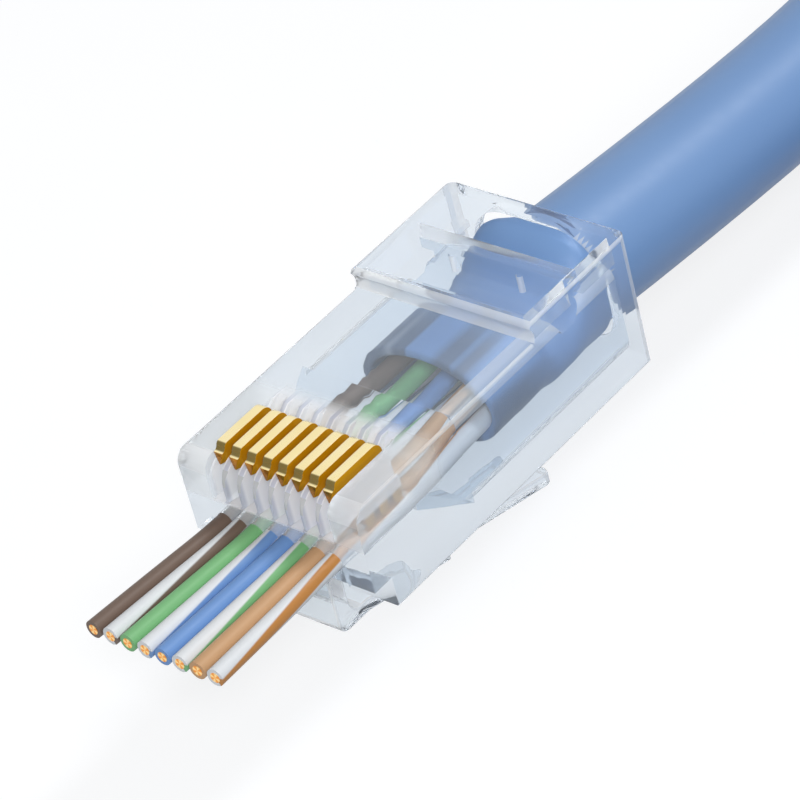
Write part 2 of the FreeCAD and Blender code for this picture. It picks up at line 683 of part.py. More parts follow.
def pieces():
    yield "housing", make_housing()
    yield "latch", make_latch()
    for index in range(WIRE_COUNT):
        yield "contact_%d" % (index + 1), make_contact(index)
    for index, colour in enumerate(WIRE_COLOURS):
        yield "insulation_" + colour, make_insulation(index)
        yield "conductor_" + colour, make_conductor(index)
    yield "cable_jacket", make_cable_jacket()
    yield "cable_run", make_cable_run()
    yield "cable_coil", make_cable_coil()
    yield "coil_tie", make_coil_tie()


def main():
    os.makedirs("parts", exist_ok=True)
    for name, shape in pieces():
        placed = seat(shape)
        placed.exportStep("parts/%s.step" % name)
        report = (name, len(placed.Solids), placed.Volume, placed.isValid())
        print("%-26s %2d solid %9.3f mm3 valid %s" % report)


main()
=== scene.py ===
import math

import bmesh
import bpy
from mathutils import Matrix, Vector


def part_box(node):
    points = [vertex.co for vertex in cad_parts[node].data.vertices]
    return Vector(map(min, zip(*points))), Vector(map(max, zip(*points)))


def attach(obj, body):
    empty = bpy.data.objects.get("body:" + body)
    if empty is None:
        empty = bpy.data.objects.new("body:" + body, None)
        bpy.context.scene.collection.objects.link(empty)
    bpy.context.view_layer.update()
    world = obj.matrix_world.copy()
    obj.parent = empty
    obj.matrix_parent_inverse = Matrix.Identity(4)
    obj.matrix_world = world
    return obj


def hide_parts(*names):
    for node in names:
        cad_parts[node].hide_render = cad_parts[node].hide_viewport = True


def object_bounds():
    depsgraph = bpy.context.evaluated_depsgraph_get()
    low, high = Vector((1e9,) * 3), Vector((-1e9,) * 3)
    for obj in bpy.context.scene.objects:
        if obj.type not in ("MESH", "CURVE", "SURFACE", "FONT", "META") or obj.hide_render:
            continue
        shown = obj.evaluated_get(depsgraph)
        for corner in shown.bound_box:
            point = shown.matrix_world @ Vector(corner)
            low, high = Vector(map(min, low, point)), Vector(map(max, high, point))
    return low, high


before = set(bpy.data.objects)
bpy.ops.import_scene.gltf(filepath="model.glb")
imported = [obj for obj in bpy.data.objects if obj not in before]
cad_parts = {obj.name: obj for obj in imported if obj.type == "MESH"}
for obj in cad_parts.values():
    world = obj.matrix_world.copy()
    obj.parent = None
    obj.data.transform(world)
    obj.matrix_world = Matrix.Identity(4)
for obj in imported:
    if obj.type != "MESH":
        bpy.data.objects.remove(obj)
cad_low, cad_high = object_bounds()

MM = 0.001
PLUG = "plug"
LATCH = "latch"

# ---------------------------------------------------------------------------
# Shared sizes and helpers. A place on the plug is in millimetres: sideways from
# its middle, back from the nose's face and up from the body's underside.
# ---------------------------------------------------------------------------

WIRE_COLOURS = (
    "brown", "white_brown", "green", "white_blue",
    "blue", "white_green", "orange", "white_orange",
)
WIRE_PITCH = 1.02            # from wire to wire, and from contact to contact
WIRE_RADIUS = 0.5
COPPER_RADIUS = 0.285
CABLE_RADIUS = 3.5

body_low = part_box("housing")[0]


def on_plug(x, y, z):
    """Point in metres from a place on the plug in millimetres."""
    return Vector((x * MM, body_low[1] + y * MM, body_low[2] + z * MM))


def linked(name, data):
    """New object of this data, in the scene and at the origin."""
    made = bpy.data.objects.new(name, data)
    bpy.context.scene.collection.objects.link(made)
    return made


def evaluated_mesh(piece):
    """Plain mesh of an object as its curve or its modifiers shape it."""
    graph = bpy.context.evaluated_depsgraph_get()
    return bpy.data.meshes.new_from_object(
        piece.evaluated_get(graph), preserve_all_data_layers=True, depsgraph=graph,
    )


def eased(t):
    """0 to 1 with a gentle start and end."""
    return t * t * (3 - 2 * t)


def evenly(start, end, count):
    """Places from start to end, in this many equal steps."""
    return [start + (end - start) * step / count for step in range(count + 1)]


# ---------------------------------------------------------------------------
# Camera
# ---------------------------------------------------------------------------

VIEW_AZIMUTH = math.radians(48.2)
VIEW_ELEVATION = math.radians(36.5)
VIEW_ROLL = math.radians(-15.1)
VIEW_DISTANCE = 225.5 * MM
VIEW_AIM = (0, 10, 3)
VIEW_LEFT = 0.3 * MM         # from that place to the view's middle
VIEW_UP = 1.2 * MM
LENS = 202.8
SENSOR = 36


def make_camera():
    """Looks down on the plug from ahead of its nose, on the +X side, a little rolled."""
    a, e, r = VIEW_AZIMUTH, VIEW_ELEVATION, VIEW_ROLL
    back = Vector((math.sin(a) * math.cos(e), -math.cos(a) * math.cos(e), math.sin(e)))
    level = Vector((math.cos(a), math.sin(a), 0))
    above = back.cross(level)
    right = math.cos(r) * level + math.sin(r) * above
    up = -math.sin(r) * level + math.cos(r) * above
    aim = on_plug(*VIEW_AIM) - right * VIEW_LEFT + up * VIEW_UP
    data = bpy.data.cameras.new("camera")
    data.lens = LENS
    data.sensor_width = SENSOR
    data.clip_start = 0.01
    data.clip_end = 10
    camera = linked("camera", data)
    turn = Matrix((right, up, back)).transposed().to_4x4()
    camera.matrix_world = Matrix.Translation(aim + back * VIEW_DISTANCE) @ turn
    bpy.context.scene.camera = camera


make_camera()


# ---------------------------------------------------------------------------
# Free cable, from the plug's mouth to the tied coil
# ---------------------------------------------------------------------------

CABLE_ROUTE = (
    (0.6, 22.46, 4.0),
    (1.43, 41.96, 2.65),
    (0.9, 53.96, 3.0),
    (1.8, 66.46, -2.5),
)
COIL_RADIUS = 42.5           # of the first turn's centre line
COIL_TURNS = 1.95
COIL_PITCH = 7.2             # from the start of the first turn in to the second
POINTS_PER_TURN = 24
CROSS_START = 0.45           # share of the first turn after which it moves in
ROUNDING = math.cos(math.pi / POINTS_PER_TURN)
TIE_THICKNESS = 0.6
TIE_WIDTH = 5.0
TIE_EASE = 0.05              # play between the cable and its tie
TIE_ANGLE = math.pi / 2      # where the tie holds the coil, round from its start
TIE_NARROWNESS = 12          # the higher, the shorter the stretch lifted over the tie


def coil_centre():
    x, y, z = CABLE_ROUTE[-1]
    return x + COIL_RADIUS, y, z


def cable_points():
    """The route to the surface, then nearly two turns, lifted where the tie runs under them.

    The first turn ends at the second's radius, so the two overlap where it moves in.
    """
    points = list(CABLE_ROUTE)
    cx, cy, cz = coil_centre()
    for step in range(1, int(COIL_TURNS * POINTS_PER_TURN) + 1):
        turn = step / POINTS_PER_TURN
        angle = turn * math.tau
        inward = eased(min(1.0, max(0.0, (turn - CROSS_START) / (1 - CROSS_START))))
        radius = (COIL_RADIUS - COIL_PITCH * inward) / ROUNDING
        near_tie = max(0.0, math.cos(angle - TIE_ANGLE)) ** TIE_NARROWNESS
        points.append((
            cx - radius * math.cos(angle),
            cy + radius * math.sin(angle),
            cz + (TIE_THICKNESS + TIE_EASE) * near_tie,
        ))
    return [on_plug(*point) for point in points]


def open_curve(name, points, radius=0, fineness=0):
    """Smooth curve led by these points, a bare line unless it has a radius."""
    data = bpy.data.curves.new(name, "CURVE")
    data.dimensions = "3D"
    data.resolution_u = 8
    data.bevel_depth = radius
    data.bevel_resolution = fineness
    data.use_fill_caps = True
    spline = data.splines.new("NURBS")
    spline.points.add(len(points) - 1)
    for point, place in zip(spline.points, points):
        point.co = (*place, 1)
    spline.order_u = 3
    spline.use_endpoint_u = True
    return linked(name, data)


def centreline(name, points):
    """Places along the smooth curve led by these points."""
    bare = open_curve(name, points)
    mesh = evaluated_mesh(bare)
    places = [vertex.co.copy() for vertex in mesh.vertices]
    bpy.data.meshes.remove(mesh)
    curve = bare.data
    bpy.data.objects.remove(bare)
    bpy.data.curves.remove(curve)
    return places


cable_line = cable_points()
free_cable = open_curve("free_cable", cable_line, CABLE_RADIUS * MM, fineness=6)
cable_path = centreline("cable_path", cable_line)


# ---------------------------------------------------------------------------
# Shader maths
# ---------------------------------------------------------------------------

class Val:
    """A value in a material's tree; arithmetic on it adds Math nodes."""

    def __init__(self, paint, socket):
        self.paint = paint
        self.socket = socket

    def _math(self, operation, a, b=0.0):
        return self.paint.node("ShaderNodeMath", {"operation": operation}, {0: a, 1: b})

    def __add__(self, other):
        return self._math("ADD", self, other)

    def __radd__(self, other):
        return self._math("ADD", other, self)

    def __sub__(self, other):
        return self._math("SUBTRACT", self, other)

    def __rsub__(self, other):
        return self._math("SUBTRACT", other, self)

    def __mul__(self, other):
        return self._math("MULTIPLY", self, other)

    def __rmul__(self, other):
        return self._math("MULTIPLY", other, self)

    def sine(self):
        return self._math("SINE", self)

    def angle_over(self, other):
        """Angle whose tangent is this value over the other."""
        return self._math("ARCTAN2", self, other)

    def size(self):
        """The value without its sign."""
        return self._math("ABSOLUTE", self)

    def at_least(self, other):
        return self._math("MAXIMUM", self, other)

    def wrapped(self, low, high):
        return self.paint.node("ShaderNodeMath", {"operation": "WRAP"}, {0: self, 1: high, 2: low})

    def between(self, low, high):
        """0 at low, 1 at high, smooth between."""
        return self.paint.node(
            "ShaderNodeMapRange",
            {"interpolation_type": "SMOOTHSTEP", "clamp": True},
            {"Value": self, "From Min": low, "From Max": high},
        )


def new_node(tree, kind, settings=None, inputs=None):
    """New node in a tree: its settings first, then the values or links of its sockets."""
    node = tree.nodes.new(kind)
    for key, value in (settings or {}).items():
        setattr(node, key, value)
    for key, value in (inputs or {}).items():
        source = value.socket if isinstance(value, Val) else value
        if isinstance(source, bpy.types.NodeSocket):
            tree.links.new(source, node.inputs[key])
        else:
            node.inputs[key].default_value = source
    return node


def colour(code):
    """Linear colour from its written form, such as 6F5D51."""
    parts = [int(code[i:i + 2], 16) / 255 for i in (0, 2, 4)]
    linear = [c / 12.92 if c <= 0.04045 else ((c + 0.055) / 1.055) ** 2.4 for c in parts]
    return (*linear, 1.0)


class Paint:
    """A material, or the surroundings, under construction."""

    def __init__(self, name=None, owner=None):
        self.owner = owner or bpy.data.materials.new(name)
        self.owner.use_nodes = True
        self.tree = self.owner.node_tree
        self.tree.nodes.clear()

    def node(self, kind, settings=None, inputs=None, out=0):
        return Val(self, new_node(self.tree, kind, settings, inputs).outputs[out])

    def place(self):
        return self.node("ShaderNodeTexCoord", out="Object")

    def facing(self):
        return self.node("ShaderNodeNewGeometry", out="Normal")

    def parts(self, vector):
        """The three numbers of a vector."""
        split = new_node(self.tree, "ShaderNodeSeparateXYZ", None, {"Vector": vector})
        return [Val(self, output) for output in split.outputs]

    def noise(self, scale, detail=2.0, roughness=0.5, vector=None):
        return self.node("ShaderNodeTexNoise", None, {
            "Vector": vector or self.place(), "Scale": scale, "Detail": detail, "Roughness": roughness,
        })

    def stretched(self, x, y, z):
        """The place on the object, squeezed by these shares so that a pattern stretches."""
        return self.node("ShaderNodeMapping", None, {"Vector": self.place(), "Scale": (x, y, z)})

    def mix(self, share, first, second):
        """The first colour, or the second where the share is 1; text is a colour's code."""
        first, second = [colour(c) if isinstance(c, str) else c for c in (first, second)]
        return self.node("ShaderNodeMix", {"data_type": "RGBA"}, {0: share, 6: first, 7: second}, out=2)

    def bump(self, height, strength, depth):
        """Normal of a relief of this depth in millimetres."""
        return self.node("ShaderNodeBump", None, {
            "Height": height, "Strength": strength, "Distance": depth * MM,
        })

    def principled(self, **inputs):
        values = {key.replace("_", " "): value for key, value in inputs.items()}
        return self.node("ShaderNodeBsdfPrincipled", None, values)

    def either(self, share, first, second):
        """The first shader, or the second where the share is 1."""
        return self.node("ShaderNodeMixShader", None, {0: share, 1: first, 2: second})

    def rays(self, *kinds):
        """1 for rays of these kinds, 0 for the rest."""
        path = new_node(self.tree, "ShaderNodeLightPath").outputs
        share = Val(self, path[kinds[0]])
        for kind in kinds[1:]:
            share = share.at_least(Val(self, path[kind]))
        return share

    def finished(self, shader, output="ShaderNodeOutputMaterial"):
        new_node(self.tree, output, None, {"Surface": shader})
        return self.owner

    def surface(self, **inputs):
        return self.finished(self.principled(**inputs))


# ---------------------------------------------------------------------------
# Clear plastic
# ---------------------------------------------------------------------------

CLEAR_IOR = 1.1              # below the plastic's own, so that thin walls stay pale
CLEAR_SHARE = 0.9            # transmission of the walls
EDGE_HIGHLIGHT_SHARE = 0.55            # transmission of their rounded edges, which are milky white as painted highlights
COMB_HALF = 3.9              # half width of the wires' comb, which is milky
COMB_LENGTH = 6.9            # from the nose's face to the comb's back
COMB_FADE = 1.4              # over which the milk fades out at the comb's back
COMB_FOOT = 4.2              # height at which the milk starts
COMB_FOOT_FADE = 0.3
COMB_MILK = 0.75             # share of milk in the comb
NOSE_HALF = 6.0              # half width of the nose, fainter milk beside the comb
NOSE_MILK = 0.32
MILK_EDGE = 0.15             # over which the milk fades out at the sides
RIB_HALF = 0.1               # half width of the painted shade line down the middle of a rib
RIB_EDGE = 0.06


def nose_mask(p, half):
    """1 in the nose above the wires, out to this half width, 0 on the rest of the housing."""
    x, y, z = p.parts(p.place())
    across = 1.0 - x.size().between(half * MM, (half + MILK_EDGE) * MM)
    back = on_plug(0, COMB_LENGTH, 0).y
    along = 1.0 - y.between(back - COMB_FADE * MM, back)
    foot = on_plug(0, 0, COMB_FOOT).z
    above = z.between(foot, foot + COMB_FOOT_FADE * MM)
    return across * along * above


def rib_shade_lines(p):
    """1 along the painted grey shade line down the middle of each rib between two contacts, 0 towards the
    slots beside it.
    """
    half = WIRE_PITCH * MM / 2
    off = p.parts(p.place())[0].wrapped(-half, half).size()
    return 1.0 - off.between(RIB_HALF * MM, (RIB_HALF + RIB_EDGE) * MM)


def milky_comb(p, clear, flow, bump):
    """Clear plastic turned milky by the comb's many faces, and faintly so beside it, with a painted grey
    shade line down each rib.
    """
    comb = nose_mask(p, COMB_HALF)
    # The CED2E2 line down each rib's middle is painted shade.
    ribs = p.mix(rib_shade_lines(p), p.mix(flow, "F3F5FD", "FCFCFF"), "CED2E2")
    shade = p.mix(comb, p.mix(flow, "EEF2F4", "FBFDFD"), ribs)
    milk = p.principled(Base_Color=shade, Roughness=0.25, Normal=bump)
    share = (comb * COMB_MILK).at_least(nose_mask(p, NOSE_HALF) * NOSE_MILK)
    return p.either(share, clear, milk)


def clear_plastic(name, tint, milky=False, share=CLEAR_SHARE):
    """Clear moulded plastic with faint painted shade on its side walls; light passes it to what lies
    inside.
    """
    p = Paint(name)
    flow = p.noise(180.0, detail=3.0, roughness=0.55, vector=p.stretched(1.0, 0.25, 1.0))
    bump = p.bump(flow, strength=0.03, depth=0.04)
    # Faces that point sideways take a flat blue-white base colour: painted shade on the side walls.
    side_wall_shade = p.parts(p.facing())[0].size().between(0.6, 0.9)
    shader = p.principled(
        Base_Color=p.mix(side_wall_shade, p.mix(flow, tint, "F6FAFD"), "EAF1F8"),
        Roughness=0.004 + flow * 0.01,
        IOR=CLEAR_IOR,
        Transmission_Weight=share,
        Normal=bump,
    )
    if milky:
        shader = milky_comb(p, shader, flow, bump)
    passing = p.node("ShaderNodeBsdfTransparent", None, {"Color": colour("F7F9FC")})
    return p.finished(p.either(p.rays("Is Shadow Ray", "Is Diffuse Ray"), shader, passing))


# ---------------------------------------------------------------------------
# Metal, insulation, jacket and tie
# ---------------------------------------------------------------------------

STRIPE_TURN = 149.0          # radians per metre of wire
STRIPE_START = 0.44          # radians, at the wire's tip
STRIPE_HALF = 0.58           # half the stripe's width, in radians round the wire
STRIPE_EDGE = 0.12
SHEEN_LOBES = 4.0           # bright lobes of the painted sheen fanned round a conductor's cut end
SHADE_STREAK_START = 13.5            # where the painted grey shade streaks near the cut end start to fade
SHADE_STREAK_END = 18.5              # and where they are gone


def gold():
    """Plated contact coloured by which way each face points: a pale painted sheen on its crown, painted
    olive shade in its front bend, deeper gold painted shade on its front and cut sides.
    """
    p = Paint("gold_plate")
    grain = p.noise(900.0, vector=p.stretched(1.0, 0.2, 1.0))
    mottle = p.noise(400.0, detail=3.0)
    across, along, _ = p.parts(p.facing())
    # Colour follows which way a face points: pale painted sheen facing up, painted olive shade in the
    # forward bend, deeper painted shade on the front and cut sides.
    side = across.size().between(0.35, 0.9)
    forward = -1.0 * along
    crown = p.mix(mottle, "F1DC98", "F8EBC0")
    bend = p.mix(forward.between(0.2, 0.55), crown, "7A6A3E")
    front = p.mix(forward.between(0.9, 0.99), bend, "B5760F")
    return p.surface(
        Base_Color=p.mix(side, front, p.mix(mottle, "C88C06", "D89C10")),
        Metallic=1.0 - side * 0.7,
        Specular_IOR_Level=0.1,
        Roughness=0.2 + grain * 0.14 + side * 0.15,
        Normal=p.bump(grain, strength=0.15, depth=0.01),
    )


def lay_of_wire(p):
    """The angle round a wire and the run along it."""
    across, up, run = p.parts(p.node("ShaderNodeAttribute", {"attribute_name": "lay"}, out="Vector"))
    return up.angle_over(across), run


def copper():
    """Cut end of a solid conductor, with a painted sheen in bright and orange sectors round it."""
    p = Paint("copper_wire")
    spin, _ = lay_of_wire(p)
    # Bright and orange sectors round the wire are a painted sheen on the cut end.
    painted_fan_sheen = ((spin * SHEEN_LOBES).sine() + 1.0) * 0.5
    grain = p.noise(2500.0)
    return p.surface(
        Base_Color=p.mix(painted_fan_sheen, "F0942E", "FFDE9A"),
        Metallic=0.85,
        Roughness=0.3 + grain * 0.15,
        Normal=p.bump(grain, strength=0.2, depth=0.01),
    )


def wire_plastic(name, base, stripe=None):
    """Solid or striped insulation; the stripe winds slowly round the wire."""
    p = Paint("insulation_" + name)
    grain = p.noise(1200.0, detail=3.0)
    cloud = p.noise(250.0) * 0.5
    body = p.mix(cloud, *base)
    if stripe:
        spin, run = lay_of_wire(p)
        off = (spin + run * STRIPE_TURN - STRIPE_START).wrapped(-math.pi, math.pi).size()
        band = 1.0 - off.between(STRIPE_HALF - STRIPE_EDGE, STRIPE_HALF + STRIPE_EDGE)
        body = p.mix(band, body, p.mix(cloud, *stripe))
    return p.surface(
        Base_Color=body,
        Roughness=0.42 + grain * 0.15,
        Normal=p.bump(grain, strength=0.08, depth=0.01),
        Specular_IOR_Level=0.4,
    )


def jacket_plastic():
    """Soft blue jacket with a fine satin grain, and streaks of painted grey shade near its cut end."""
    p = Paint("cable_jacket_blue")
    grain = p.noise(1500.0, detail=4.0, roughness=0.6)
    cloud = p.noise(70.0, detail=3.0)
    streaks = p.noise(420.0, vector=p.stretched(1.0, 0.03, 0.3))
    grey = p.mix(streaks.between(0.5, 0.62), "56677F", "9DA8B8")
    along = p.parts(p.place())[1]
    cut_end = 1.0 - along.between(on_plug(0, SHADE_STREAK_START, 0).y, on_plug(0, SHADE_STREAK_END, 0).y)
    # Grey streaks near the cut end are painted shade.
    streak_shade_share = cut_end * streaks.between(0.36, 0.46) * 0.9
    return p.surface(
        Base_Color=p.mix(streak_shade_share, p.mix(cloud, "6C91C4", "7B9FCF"), grey),
        Roughness=0.4 + grain * 0.14,
        Normal=p.bump(grain, strength=0.12, depth=0.02),
        Specular_IOR_Level=0.5,
    )


def strap_weave():
    """Woven strap: raised ribs under a fine fuzz, with painted shade in the grooves between them."""
    p = Paint("strap_weave")
    ribs = p.node(
        "ShaderNodeTexWave", {"wave_type": "BANDS", "bands_direction": "X"},
        {"Vector": p.place(), "Scale": 400.0, "Distortion": 1.5, "Detail": 2.0, "Detail Scale": 4.0},
    )
    fuzz = p.noise(1600.0, detail=3.0, roughness=0.7)
    height = ribs * 0.6 + fuzz * 0.4
    # Base colour follows the relief's height: painted shade in the grooves, lighter on the ribs.
    return p.surface(
        Base_Color=p.mix(height, "2C3440", "59667A"),
        Roughness=0.75 + fuzz * 0.15,
        Normal=p.bump(height, strength=0.5, depth=0.08),
        Sheen_Weight=0.3,
    )


FINISH = {
    "housing": clear_plastic("clear_housing", "E8F1FA", milky=True),
    "latch": clear_plastic("clear_latch", "E4EEF6"),
    # Rounded edges take a milky white finish as painted edge highlights.
    "edge": clear_plastic("clear_edge_highlight", "FFFFFF", share=EDGE_HIGHLIGHT_SHARE),
    "gold": gold(),
    "copper": copper(),
    "jacket": jacket_plastic(),
    "strap": strap_weave(),
}
SOLID_COLOURS = {
    "brown": ("6B594E", "77655A"),
    "green": ("77B67B", "85C088"),
    "blue": ("6C95CF", "7CA2D8"),
    "orange": ("C59B72", "D2AA82"),
}
WHITE_BASE = ("DDE1E5", "EEF1F3")
STRIPE_COLOURS = {
    "white_brown": ("6B594E", "77655A"),
    "white_green": ("74B37A", "82BD86"),
    "white_blue": ("6A92C8", "7BA0D6"),
    "white_orange": ("BC8040", "C98E4E"),
}
WIRE_FINISH = {name: wire_plastic(name, pair) for name, pair in SOLID_COLOURS.items()}
WIRE_FINISH |= {name: wire_plastic(name, WHITE_BASE, pair) for name, pair in STRIPE_COLOURS.items()}


# ---------------------------------------------------------------------------
# Node trees for what repeats or follows a path
# ---------------------------------------------------------------------------

class Grower:
    """A Geometry Nodes tree under construction, with named inputs."""

    def __init__(self, name, inputs):
        self.tree = bpy.data.node_groups.new(name, "GeometryNodeTree")
        sockets = self.tree.interface
        sockets.new_socket("Geometry", in_out="INPUT", socket_type="NodeSocketGeometry")
        sockets.new_socket("Geometry", in_out="OUTPUT", socket_type="NodeSocketGeometry")
        for label, kind in inputs:
            sockets.new_socket(label, in_out="INPUT", socket_type="NodeSocket" + kind)
        self.start = self.tree.nodes.new("NodeGroupInput")

    def given(self, label):
        return self.start.outputs[label]

    def node(self, kind, settings=None, inputs=None, out=0):
        return new_node(self.tree, kind, settings, inputs).outputs[out]

    def stored(self, geometry, label, kind, value):
        """The geometry with a value kept on each of its points."""
        return self.node(
            "GeometryNodeStoreNamedAttribute", {"data_type": kind, "domain": "POINT"},
            {"Geometry": geometry, "Name": label, "Value": value},
        )

    def kept(self, label, kind):
        return self.node("GeometryNodeInputNamedAttribute", {"data_type": kind}, {"Name": label})

    def finish(self, geometry, material):
        whole = self.node("GeometryNodeRealizeInstances", None, {"Geometry": geometry})
        painted = self.node("GeometryNodeSetMaterial", None, {"Geometry": whole, "Material": material})
        new_node(self.tree, "NodeGroupOutput", None, {0: painted})
        return self.tree


def grow(name, source, tree, values):
    """Mesh object from a tree run on a source object, which is then removed."""
    modifier = source.modifiers.new("grow", "NODES")
    modifier.node_group = tree
    for item in tree.interface.items_tree:
        if item.in_out == "INPUT" and item.name in values:
            modifier[item.identifier] = values[item.name]
    mesh = evaluated_mesh(source)
    mesh.name = name
    bpy.data.objects.remove(source)
    return linked(name, mesh)


def wire_tree():
    """Round bar along a curve; its lay attribute holds the way round it and the run along it."""
    g = Grower("round_wire", (("Radius", "Float"), ("Sides", "Int"), ("Material", "Material")))
    line = g.node("GeometryNodeSetCurveNormal", {"mode": "Z_UP"}, {"Curve": g.given("Geometry")})
    line = g.stored(line, "run", "FLOAT", g.node("GeometryNodeSplineParameter", out="Length"))
    ring = g.node(
        "GeometryNodeCurvePrimitiveCircle", None,
        {"Resolution": g.given("Sides"), "Radius": g.given("Radius")}, out="Curve",
    )
    ring = g.stored(ring, "around", "FLOAT_VECTOR", g.node("GeometryNodeInputPosition"))
    bar = g.node(
        "GeometryNodeCurveToMesh", None, {"Curve": line, "Profile Curve": ring, "Fill Caps": True},
    )
    around = new_node(g.tree, "ShaderNodeSeparateXYZ", None, {"Vector": g.kept("around", "FLOAT_VECTOR")})
    lay = g.node("ShaderNodeCombineXYZ", None, {
        "X": around.outputs[0], "Y": around.outputs[1], "Z": g.kept("run", "FLOAT"),
    })
    bar = g.stored(bar, "lay", "FLOAT_VECTOR", lay)
    return g.finish(g.node("GeometryNodeSetShadeSmooth", None, {"Geometry": bar}), g.given("Material"))


def row_tree():
    """Copies of a piece in a row across the plug."""
    g = Grower("row_of_pieces", (("Count", "Int"), ("Pitch", "Float"), ("Material", "Material")))
    step = g.node("ShaderNodeCombineXYZ", None, {"X": g.given("Pitch")})
    row = g.node("GeometryNodeMeshLine", None, {"Count": g.given("Count"), "Offset": step})
    copies = g.node("GeometryNodeInstanceOnPoints", None, {"Points": row, "Instance": g.given("Geometry")})
    return g.finish(copies, g.given("Material"))


# ---------------------------------------------------------------------------
# Mesh helpers
# ---------------------------------------------------------------------------

WELD_GAP = 0.002             # under which two points of a solid's mesh are one
FLAT_ANGLE = math.radians(1)  # under which two faces are one


def mesh_from(bm, name):
    """Mesh of what was built, which ends the building."""
    mesh = bpy.data.meshes.new(name)
    bm.to_mesh(mesh)
    bm.free()
    return mesh


def merged_copy(node, name, reshape):
    """A solid's mesh with its triangles joined and its flat faces whole again, then reshaped."""
    bm = bmesh.new()
    bm.from_mesh(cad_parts[node].data)
    bmesh.ops.remove_doubles(bm, verts=bm.verts, dist=WELD_GAP * MM)
    bmesh.ops.dissolve_limit(bm, angle_limit=FLAT_ANGLE, verts=bm.verts, edges=bm.edges)
    reshape(bm)
    return mesh_from(bm, name)


def skin(bm, rings, closed=False):
    """Faces between each ring of points and the next."""
    following = rings[1:] + rings[:1] if closed else rings[1:]
    for a, b in zip(rings, following):
        for k in range(len(a)):
            n = (k + 1) % len(a)
            bm.faces.new((a[k], a[n], b[n], b[k]))


def soften(piece, width, angle=35, smooth=40, edge_finish=0):
    """Rounds the piece's edges; the new faces take the finish of that number."""
    bevel = piece.modifiers.new("soften", "BEVEL")
    bevel.material = edge_finish
    bevel.width = width * MM
    bevel.segments = 2
    bevel.limit_method = "ANGLE"
    bevel.angle_limit = math.radians(angle)
    mesh = evaluated_mesh(piece)
    piece.modifiers.clear()
    sharp = piece.data
    piece.data = mesh
    bpy.data.meshes.remove(sharp)
    mesh.shade_smooth()
    mesh.set_sharp_from_angle(angle=math.radians(smooth))


# ---------------------------------------------------------------------------
# Contacts
# ---------------------------------------------------------------------------

BLADE_FRONT = 0.78           # a contact's front face
BLADE_FOOT = 6.4             # the lower edge of its front foot
TOE_BACK = 0.3               # the toe's reach back from the front, and up from the foot
TOE_RISE = 0.45
TOE_DROP = 0.25              # of its point, below the foot
TOE_SHARE = 0.15             # width left at its point
TOE_SHIFT = 0.08             # of its point, to one side
TOE_NEAR = 0.02              # within which a corner belongs to the point
CUT_GAP = 0.001              # within which a corner lies on a cut
CONTACT_ROUND = 0.05


def point_the_toe(bm):
    """Draws the front foot's lower edge down to a narrow point."""
    front = on_plug(0, BLADE_FRONT, 0).y
    foot = on_plug(0, 0, BLADE_FOOT).z
    cuts = (
        ((0, front + TOE_BACK * MM, 0), (0, 1, 0)),
        ((0, 0, foot + TOE_RISE * MM), (0, 0, 1)),
    )
    for place, way in cuts:
        parts = list(bm.verts) + list(bm.edges) + list(bm.faces)
        bmesh.ops.bisect_plane(bm, geom=parts, plane_co=place, plane_no=way, dist=CUT_GAP * MM)
    near = TOE_NEAR * MM
    low = [v for v in bm.verts if v.co.y < front + near and v.co.z < foot + near]
    faces = {face for v in low for face in v.link_faces}
    bmesh.ops.triangulate(bm, faces=list(faces))
    middle = sum(v.co.x for v in low) / len(low)
    for v in low:
        v.co.x = middle + (v.co.x - middle) * TOE_SHARE - TOE_SHIFT * MM
        v.co.z -= TOE_DROP * MM


def make_contacts():
    blade = linked("contact_blade", merged_copy("contact_1", "contact_blade", point_the_toe))
    soften(blade, CONTACT_ROUND)
    count = len(WIRE_COLOURS)
    row = grow("contacts", blade, row_tree(), {
        "Count": count, "Pitch": WIRE_PITCH * MM, "Material": FINISH["gold"],
    })
    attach(row, PLUG)
    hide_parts(*["contact_%d" % (i + 1) for i in range(count)])


make_contacts()


# ---------------------------------------------------------------------------
# Wires
# ---------------------------------------------------------------------------

WIRE_HEIGHT = 3.1            # of the wires in the comb
WIRE_TIP = -9.4
TIP_RISE = 0.3
TIP_SPREAD = 1.118           # of the row at its tips, against the comb
FAN_PLACE = -4.6             # half way through the fan
FAN_RISE = 0.12
CHANNEL_PLACES = (-1.2, 1.0, 5.6, 6.9)
BEND_PLACE = 10.6            # the last bend, on the way into the jacket
BEND_SHARE = 0.45            # of the way to its place in the jacket that a wire has gone there
WIRE_END = 16.2
END_SPREAD = 0.742           # of the rows in the jacket
ROWS_HEIGHT = 3.275          # middle height of the two rows in the jacket
ROW_RISE = 0.7               # of each row from that middle
INSULATION_PLAY = 0.005      # off a wire's radius, so that neighbours stay apart
INSULATION_SIDES = 32
COPPER_PROUD = 0.02          # of a conductor past its insulation, at both ends
COPPER_SIDES = 24
ROUND_WIRE = wire_tree()


def wire_route(index):
    """Fanned tip, straight channel in the comb, then a slight weave back into the jacket."""
    x = (index - (len(WIRE_COLOURS) - 1) / 2) * WIRE_PITCH
    tip_x = x * TIP_SPREAD
    end_x = x * END_SPREAD
    end_z = ROWS_HEIGHT + (-ROW_RISE if index % 2 else ROW_RISE)
    bend_z = WIRE_HEIGHT + (end_z - WIRE_HEIGHT) * BEND_SHARE
    return [
        (tip_x, WIRE_TIP, WIRE_HEIGHT + TIP_RISE),
        ((x + tip_x) / 2, FAN_PLACE, WIRE_HEIGHT + FAN_RISE),
        *[(x, y, WIRE_HEIGHT) for y in CHANNEL_PLACES],
        (x + (end_x - x) * BEND_SHARE, BEND_PLACE, bend_z),
        (end_x, WIRE_END, end_z),
    ]


